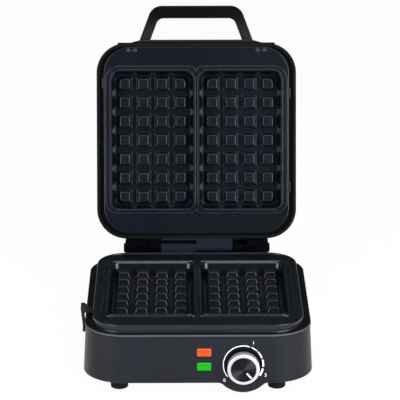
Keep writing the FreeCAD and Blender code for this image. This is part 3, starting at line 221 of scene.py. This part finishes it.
# the zone colour here is a painted highlight for the handle legs
handleLook = dict(frameLook, dark=(3, 3, 4), light=(6, 6, 8), rough=0.44, gloss=0.04,
                  zoneToneAndHighlight=(33, 33, 35))
# near-black hinge tones: painted shade for the towers and barrel ends under the lid
hingeShadeLook = dict(frameLook, dark=(2, 2, 3), light=(4, 4, 5), gloss=0.01, fleck=0.05, edgeWearAndShine=0.05,
                 zoneToneAndHighlight=(23, 29, 37))
# the zone colour here is a painted highlight for the rim's rounded edge
rimHighlightLook = dict(frameLook, gloss=0.15, zoneToneAndHighlight=(68, 70, 78))
linerLook = dict(frameLook, dark=(2, 2, 3), light=(4, 4, 5), gloss=0.04, edgeWearAndShine=0.05)
latchLook = dict(frameLook, dark=(16, 16, 18), light=(26, 26, 29), rough=0.46, gloss=0.25)
rubberLook = dict(frameLook, dark=(8, 8, 8), light=(14, 14, 14), rough=0.72, gloss=0.15, bump=0.25)
sleeveLook = dict(frameLook, dark=(180, 172, 158), light=(206, 198, 184), fleck=0.05, rough=0.55)
bodyLook = dict(frameLook, dark=(196, 188, 172), light=(226, 220, 206), fleck=0.1, rough=0.6, gloss=0.35)
metalGrain = {"detail": 3.0, "brushRough": 0.6, "stainBand": (0.35, 0.7), "bumpDepth": 0.1 * mm}


# bare metal: brushed along one axis, with soft stains
def brushedMetal(name, look):
    metal = Finish(name)
    where = metal.add("ShaderNodeVectorMath", {"operation": "MULTIPLY"},
                      {0: metal.place(), 1: look["stretch"]})
    brush = metal.noise(look["brushScale"], metalGrain["detail"], metalGrain["brushRough"], where)
    stain = metal.band(metal.noise(look["stainScale"], metalGrain["detail"]), *metalGrain["stainBand"])
    tone = metal.mix(stain, rgb(*look["bright"]), rgb(*look["stain"]))
    rough = look["rough"] + (brush - noiseMiddle) * look["brush"]
    metal.set(Base_Color=tone, Metallic=1.0, Roughness=rough,
              Normal=metal.bump(brush, look["bump"], metalGrain["bumpDepth"]))
    return metal.block


sheetLook = {"bright": (205, 204, 200), "stain": (170, 165, 158), "stretch": (1.0, 14.0, 14.0),
             "brushScale": 160.0, "stainScale": 22.0, "rough": 0.34, "brush": 0.3, "bump": 0.08}
screwLook = dict(sheetLook, bright=(178, 178, 182), stain=(140, 138, 136), stretch=(6.0, 6.0, 6.0),
                 rough=0.32)
pinLook = dict(screwLook, bright=(30, 30, 33), stain=(18, 18, 20), rough=0.4)
rivetSteelLook = dict(screwLook, bright=(58, 62, 72), stain=(42, 45, 54), rough=0.42)
rodLook = dict(sheetLook, bright=(112, 104, 98), stain=(78, 66, 60), rough=0.5)
chromeLook = dict(sheetLook, bright=(238, 239, 243), stain=(222, 223, 228), stretch=(3.0, 60.0, 3.0),
                  rough=0.44, brush=0.18, bump=0.03)
print("skins and metals described")


# where things sit, read from the CAD pieces
def middle(node):
    low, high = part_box(node)
    return (low + high) / 2


def size(node):
    low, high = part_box(node)
    return high - low


housingLow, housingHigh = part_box("base_housing")
housingTopFront = min(vertex.co.y for vertex in nodes["base_housing"].data.vertices
                      if vertex.co.z > housingHigh.z - mm)
wallLean = (housingTopFront - housingLow.y) / (housingHigh.z - housingLow.z)
dialCentre = middle("dial_ring")


def wallY(z):
    return housingLow.y + (z - housingLow.z) * wallLean


# spun black cap: fine turned rings round the dial's own axis, and paired bright fans painted in as a highlight
def spunCap():
    look = {"dark": (6, 6, 8), "light": (46, 47, 54), "ringPitch": 0.35 * mm, "fans": 2.0, "fanTurn": 1.15,
            "fanPower": 5.0, "rough": 0.36, "ringRough": 0.15, "gloss": 0.15, "bump": 0.12}
    cap = Finish("spunBlackPaintedSheen")
    axes = cap.axes()
    across = axes.part("X") - dialCentre.x
    upward = axes.part("Z") - dialCentre.z
    radius = (across * across + upward * upward) ** 0.5
    rings = (radius * (2 * math.pi / look["ringPitch"])).wave("SINE")
    turn = upward.call("ARCTAN2", across)
    # painted highlight: the paired bright fans that a turned face shows under the lamps
    paintedSheen = (turn * look["fans"] - look["fanTurn"]).wave("COSINE")   # the paired bright fans of a turned face
    tone = cap.mix(paintedSheen ** look["fanPower"], rgb(*look["dark"]), rgb(*look["light"]))
    cap.set(Base_Color=tone, Roughness=look["rough"] + rings * look["ringRough"],
            Normal=cap.bump(rings, look["bump"], metalGrain["bumpDepth"]))
    cap.set(Specular_IOR_Level=look["gloss"])
    return cap.block


lensLook = {"bevel": (0.72, 0.98), "upShare": 0.98, "edgeShare": 0.8, "ribPitch": 1.1 * mm, "ribShare": 0.12,
            "deepDrop": 1 * mm, "deepShare": 0.6, "rough": 0.16, "grainScale": 600.0, "roughGrain": 0.1,
            "bump": 0.05, "bumpDepth": 0.1 * mm, "glow": 0.2, "gloss": 0.2}
orangeLook = dict(lensLook, core=(174, 56, 1), edge=(190, 92, 44), deep=(150, 38, 0))
greenLook = dict(lensLook, core=(0, 140, 0), edge=(12, 160, 10), deep=(0, 106, 0))


# indicator lens: deep colour in the middle, the bevel paled as a painted highlight, the upper half darkened as
# painted shade, lit a little from behind
def lensFinish(name, node, look):
    lens = Finish(name)
    centre = middle(node)
    extent = size(node)
    axes = lens.axes()
    fromMiddle = axes.part("X") - centre.x
    across = (fromMiddle / (extent.x / 2)).call("ABSOLUTE")
    upward = ((axes.part("Z") - centre.z) / (extent.z / 2)).call("ABSOLUTE")
    # painted highlight: the bevel is mixed toward the paler edge colour
    edge = lens.band(across.call("MAXIMUM", upward * look["upShare"]), *look["bevel"])
    ribs = (fromMiddle * (2 * math.pi / look["ribPitch"])).wave("SINE")
    tone = lens.mix(edge * look["edgeShare"], rgb(*look["core"]), rgb(*look["edge"]))
    tone = lens.mix(ribs * look["ribShare"], tone, rgb(*look["edge"]))
    # painted shade: the upper half, away from the bevel, is mixed toward the deep colour
    paintedShadeTop = lens.band(axes.part("Z"), centre.z - look["deepDrop"], centre.z + extent.z / 2)
    tone = lens.mix(paintedShadeTop * (1 - edge) * look["deepShare"], tone, rgb(*look["deep"]))
    rough = look["rough"] + lens.noise(look["grainScale"]) * look["roughGrain"]
    lens.set(Base_Color=tone, Roughness=rough, Emission_Color=tone,
             Normal=lens.bump(ribs, look["bump"], look["bumpDepth"]))
    lens.set(Emission_Strength=look["glow"], Specular_IOR_Level=look["gloss"])
    return lens.block


# printed marks: pale ink of a slightly uneven white
def markInk():
    look = {"dim": (238, 239, 242), "bright": (250, 250, 252), "scale": 900.0, "detail": 3.0,
            "band": (0.3, 0.7), "rough": 0.5, "grainScale": 1500.0, "roughGrain": 0.12}
    ink = Finish("markInk")
    patches = ink.band(ink.noise(look["scale"], look["detail"]), *look["band"])
    ink.set(Base_Color=ink.mix(patches, rgb(*look["dim"]), rgb(*look["bright"])),
            Roughness=look["rough"] + ink.noise(look["grainScale"]) * look["roughGrain"])
    return ink.block


def lampGlass():
    look = {"tint": (0.9, 0.87, 0.82, 1.0), "rough": 0.06, "grainScale": 300.0, "roughGrain": 0.06,
            "clear": 0.9}
    glass = Finish("lampGlass")
    glass.set(Base_Color=look["tint"], Transmission_Weight=look["clear"],
              Roughness=look["rough"] + glass.noise(look["grainScale"]) * look["roughGrain"])
    return glass.block


finishes = {
    "housing_paint": grainedSkin("satinCharcoal", shellLook),
    "frame_plastic": grainedSkin("matteFrame", frameLook),
    "handle_plastic": grainedSkin("matteHandle", handleLook),
    "latch_plastic": grainedSkin("matteLatch", latchLook),
    "nonstick": grainedSkin("nonstickCoat", coatLook),
    "sheet_steel": brushedMetal("brightSheet", sheetLook),
    "element_steel": brushedMetal("heatedRod", rodLook),
    "screw_steel": brushedMetal("platedScrew", screwLook),
    "pin_steel": brushedMetal("blackPin", pinLook),
    "foot_rubber": grainedSkin("footRubber", rubberLook),
    "dial_chrome": brushedMetal("satinChrome", chromeLook),
    "dial_black": spunCap(),
    "pointer_white": markInk(),
    "lens_orange": lensFinish("orangeLens", "power_lens", orangeLook),
    "lens_green": lensFinish("greenLens", "ready_lens", greenLook),
    "lamp_glass": lampGlass(),
    "insulator": grainedSkin("paleInsulator", bodyLook),
    "wire_sleeve": grainedSkin("wireSleeve", sleeveLook),
}
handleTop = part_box("lid_handle")[1].z
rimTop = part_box("base_top_frame")[1].z
zones = {"gripDepth": 10 * mm, "bossTop": 307.5 * mm, "bossFade": 1 * mm,
         "barrelHalf": 41 * mm, "barrelFade": 0.2 * mm,
         "rimFrom": 0.15 * mm, "rimTo": 0.6 * mm, "seamShadow": 0.9 * mm, "seamShadowFade": 0.1 * mm}


def handleLegHighlight(skin):
    # the legs are painted paler than the grip as a painted highlight, most of all at their feet, down to the
    # boss they stand on
    height = skin.axes().part("Z")
    legs = skin.band(height, handleTop - zones["gripDepth"], zones["bossTop"])
    return legs * skin.band(height, zones["bossTop"] - zones["bossFade"], zones["bossTop"])


def hingeBarrel(skin):
    # the middle of the barrel is the coat's blue black, its own tone; the ends, like the towers, are
    # near-black as painted shade under the lid
    across = skin.axes().part("X").call("ABSOLUTE")
    return skin.band(across, zones["barrelHalf"] + zones["barrelFade"], zones["barrelHalf"])


def rimHighlightAndSeamShadow(skin):
    # the rim's rounded edge is painted pale as a highlight; its flat top keeps the frame's black, and the
    # strip just above the seam is left black as painted shadow under the lip
    height = skin.axes().part("Z")
    seamShadowTop = housingHigh.z + zones["seamShadow"]
    sides = skin.band(height, rimTop - zones["rimFrom"], rimTop - zones["rimTo"])
    return sides * skin.band(height, seamShadowTop - zones["seamShadowFade"], seamShadowTop)


hingeShadedBlack = grainedSkin("hingeShadedBlack", hingeShadeLook, hingeBarrel)
# the pegs' pale edges are painted highlight as well as wear
pegCoatLitEdges = grainedSkin("pegCoatLitEdges", pegLook)   # worn a little paler than the plate round it
ownFinishes = {
    "lid_housing": grainedSkin("satinLid", lidLook),   # darker than the base
    "lid_inner_frame": grainedSkin("lidLiner", linerLook),
    "lid_handle": grainedSkin("handlePaintedHighlight", handleLook, handleLegHighlight),
    "base_top_frame": grainedSkin("rimPaintedHighlight", rimHighlightLook, rimHighlightAndSeamShadow),
    "base_hinge_bracket": hingeShadedBlack,
    "lid_hinge_bracket": hingeShadedBlack,
    "hinge_pin_caps": hingeShadedBlack,
    "upper_plate_pegs": pegCoatLitEdges,
    "lower_plate_pegs": pegCoatLitEdges,
}
for part in frame["record"]["subparts"]:
    mesh = nodes[part["node"]].data
    mesh.materials.clear()
    mesh.materials.append(ownFinishes.get(part["node"], finishes[part["material_slot"]]))


def linked(name, content):
    thing = bpy.data.objects.new(name, content)
    bpy.context.scene.collection.objects.link(thing)
    return thing


# domed rivets in the upper plate's front corners, set out on the closed lid and swung open with it
rivetLook = {"radius": 2.7 * mm, "rise": 1.4 * mm, "setback": 4.2 * mm, "insets": (28.2 * mm, 36.4 * mm),
             "beadHeight": 1.0 * mm, "steps": 24, "rings": 6}
lidJoint = next(joint for joint in frame["record"]["behaviour"]["joints"] if joint["name"] == "lid_hinge")
hingePlace = Vector(lidJoint["pos_m"])
openTurn = Matrix.Rotation(-math.radians(lidJoint["range_deg"][1]), 3, Vector(lidJoint["axis"]))


def opened(point):
    return hingePlace + openTurn @ (point - hingePlace)


def drawRivet(form, x, y, face):
    steps = rivetLook["steps"]
    rings = []
    for i in range(rivetLook["rings"]):
        climb = math.pi / 2 * i / rivetLook["rings"]
        radius = rivetLook["radius"] * math.cos(climb)
        height = face - rivetLook["rise"] * math.sin(climb)
        ring = []
        for j in range(steps):
            turn = 2 * math.pi * j / steps
            spot = Vector((x + radius * math.cos(turn), y + radius * math.sin(turn), height))
            ring.append(form.verts.new(opened(spot)))
        rings.append(ring)
    crown = form.verts.new(opened(Vector((x, y, face - rivetLook["rise"]))))
    for j in range(steps):
        k = (j + 1) % steps
        for ring, inner in zip(rings, rings[1:]):
            form.faces.new((ring[j], inner[j], inner[k], ring[k]))
        form.faces.new((rings[-1][j], crown, rings[-1][k]))
    form.faces.new(rings[0])


def plateRivets():
    shut = [hingePlace + openTurn.inverted() @ (vertex.co - hingePlace)
            for vertex in nodes["upper_cooking_plate"].data.vertices]
    front = min(spot.y for spot in shut) + rivetLook["setback"]
    side = max(spot.x for spot in shut)
    face = min(spot.z for spot in shut) + rivetLook["beadHeight"]
    mesh = bpy.data.meshes.new("plateRivets")
    form = bmesh.new()
    for inset in rivetLook["insets"]:
        for x in (inset - side, side - inset):
            drawRivet(form, x, front, face)
    bmesh.ops.recalc_face_normals(form, faces=form.faces)
    form.to_mesh(mesh)
    form.free()
    mesh.shade_smooth()
    mesh.materials.append(brushedMetal("rivetSteel", rivetSteelLook))
    piece = linked("plateRivets", mesh)
    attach(piece, "lid")


plateRivets()
print("rivets set")


# marks on the front wall, drawn as thin ink strips a hair proud of it
inkRise = 0.08 * mm


def wallPoint(x, z):
    return Vector((x, wallY(z) - inkRise, z))


def inkPiece(name, mesh):
    mesh.materials.clear()
    mesh.materials.append(finishes["pointer_white"])
    piece = linked(name, mesh)
    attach(piece, "base")


def strip(form, line, widths):
    # ribbon along a line of (x, z) points, as wide as the matching width
    pairs = []
    for i, (x, z) in enumerate(line):
        before = line[max(i - 1, 0)]
        after = line[min(i + 1, len(line) - 1)]
        along = Vector((after[0] - before[0], after[1] - before[1])).normalized()
        side = Vector((-along.y, along.x)) * (widths[i] / 2)
        pairs.append((form.verts.new(wallPoint(x + side.x, z + side.y)),
                      form.verts.new(wallPoint(x - side.x, z - side.y))))
    for (a, b), (c, d) in zip(pairs, pairs[1:]):
        form.faces.new((a, b, d, c))


def dialPoint(radius, degrees):
    turn = math.radians(degrees)
    return dialCentre.x + radius * math.cos(turn), dialCentre.z + radius * math.sin(turn)


# one thin arc, then dashes that grow wider to the far end
scaleMarks = {"radius": 21.2 * mm, "thinArc": (219.0, 71.5), "thin": 0.95 * mm, "wide": 2.3 * mm,
              "dashes": ((65.7, 46.9), (43.8, 21.3), (15.5, -5.6), (-11.3, -34.4)),
              "arcSteps": 60, "dashSteps": 12}


def drawArc(form, start, end, steps, widthAt):
    turns = [start + (end - start) * i / steps for i in range(steps + 1)]
    line = [dialPoint(scaleMarks["radius"], turn) for turn in turns]
    strip(form, line, [widthAt(turn) for turn in turns])


def dialScale():
    first = scaleMarks["dashes"][0][0]
    last = scaleMarks["dashes"][-1][1]
    thin = scaleMarks["thin"]

    def dashWidth(turn):
        return thin + (scaleMarks["wide"] - thin) * ((first - turn) / (first - last))

    mesh = bpy.data.meshes.new("dialScale")
    form = bmesh.new()
    drawArc(form, *scaleMarks["thinArc"], scaleMarks["arcSteps"], lambda turn: thin)
    for start, end in scaleMarks["dashes"]:
        drawArc(form, start, end, scaleMarks["dashSteps"], dashWidth)
    form.to_mesh(mesh)
    form.free()
    inkPiece("dialScale", mesh)


# plain numbers at the ends of the scale
dialNumbers = {"height": 5.2 * mm, "radius": 26.5 * mm, "places": (("0", 221.0), ("1", 66.0), ("5", -26.0))}


def numberPiece(name, digit, x, z):
    curve = bpy.data.curves.new(name, "FONT")
    curve.body = digit
    curve.size = dialNumbers["height"]
    curve.align_x = "CENTER"
    curve.align_y = "CENTER"
    text = linked(name + "Curve", curve)
    bpy.context.view_layer.update()
    mesh = bpy.data.meshes.new_from_object(text.evaluated_get(bpy.context.evaluated_depsgraph_get()))
    bpy.data.objects.remove(text)
    for vertex in mesh.vertices:
        vertex.co = wallPoint(x + vertex.co.x, z + vertex.co.y)
    mesh.name = name
    inkPiece(name, mesh)


dialScale()
for digit, turn in dialNumbers["places"]:
    numberPiece("dialNumber" + digit, digit, *dialPoint(dialNumbers["radius"], turn))
print("dial printed")


# studio: pale floor, soft boxes, and the camera at the photograph's place
def paleFloor():
    look = {"width": 30.0, "cells": 8, "shadow": 0.04, "dim": (0.88, 0.88, 0.88, 1.0),
            "bright": (0.92, 0.92, 0.92, 1.0), "scale": 3.0, "rough": 0.8}
    floor = Finish("paleFloor")
    floor.set(Base_Color=floor.mix(floor.noise(look["scale"]), look["dim"], look["bright"]),
              Roughness=look["rough"])
    white = floor.add("ShaderNodeEmission", None, {"Strength": 1.0})
    floor.close(floor.add("ShaderNodeMixShader", None, {
        0: floor.seenBare() * (1.0 - look["shadow"]), 1: Sock(floor, floor.shader.outputs[0]), 2: white}))
    mesh = bpy.data.meshes.new("floor")
    form = bmesh.new()
    bmesh.ops.create_grid(form, x_segments=look["cells"], y_segments=look["cells"], size=look["width"] / 2)
    form.to_mesh(mesh)
    form.free()
    mesh.materials.append(floor.block)
    plane = linked("floor", mesh)


def paleWorld():
    look = {"horizon": 0.12, "overhead": 0.06, "fade": (0.04, 0.22), "white": (1.0, 1.0, 1.0, 1.0)}
    studio = Finish("studio", bpy.data.worlds)
    towards = studio.add("ShaderNodeTexCoord").part("Generated")
    height = studio.add("ShaderNodeSeparateXYZ", None, {0: towards}).part("Z").call("ABSOLUTE")
    horizon = studio.add("ShaderNodeBackground", None, {"Color": look["white"], "Strength": look["horizon"]})
    overhead = studio.add("ShaderNodeBackground", None, {"Color": look["white"], "Strength": look["overhead"]})
    studio.close(studio.add("ShaderNodeMixShader", None, {
        0: studio.band(height, *look["fade"]), 1: horizon, 2: overhead}))
    bpy.context.scene.world = studio.block


softBoxes = (
    {"name": "topBox", "place": (0.0, -0.1, 1.9), "aim": (0.0, 0.0, 0.1),
     "width": 1.6, "height": 1.2, "power": 14.0},
    {"name": "rightBox", "place": (1.05, -1.15, 0.75), "aim": (0.05, -0.1, 0.15),
     "width": 1.0, "height": 1.6, "power": 42.0},
    {"name": "leftBox", "place": (-1.15, -1.05, 0.75), "aim": (-0.05, -0.1, 0.15),
     "width": 1.0, "height": 1.6, "power": 30.0},
    {"name": "frontBox", "place": (0.2, -1.0, 2.1), "aim": (0.0, 0.0, 0.15),
     "width": 1.4, "height": 0.9, "power": 10.0},
)


def softBox(name, place, aim, width, height, power):
    lamp = bpy.data.lights.new(name, "AREA")
    lamp.shape = "RECTANGLE"
    lamp.size = width
    lamp.size_y = height
    lamp.energy = power
    box = linked(name, lamp)
    box.location = place
    box.rotation_euler = (Vector(aim) - Vector(place)).to_track_quat("-Z", "Y").to_euler()


cameraLook = {"place": (-15.6 * mm, -2326.7 * mm, 964.4 * mm), "down": 18.668, "yaw": 0.454,
              "sensor": 36.0, "focalPixels": 2250.4, "imagePixels": 400.0, "farthest": 100.0}


def photoCamera():
    camera = bpy.data.cameras.new("photoCamera")
    camera.sensor_width = cameraLook["sensor"]
    camera.lens = camera.sensor_width * cameraLook["focalPixels"] / cameraLook["imagePixels"]
    camera.clip_end = cameraLook["farthest"]
    holder = linked("photoCamera", camera)
    holder.location = cameraLook["place"]
    holder.rotation_euler = (math.radians(90.0 - cameraLook["down"]), 0.0, -math.radians(cameraLook["yaw"]))
    bpy.context.scene.camera = holder


paleFloor()
paleWorld()
for box in softBoxes:
    softBox(**box)
photoCamera()
bpy.context.scene.view_settings.view_transform = "Standard"
print("studio set")
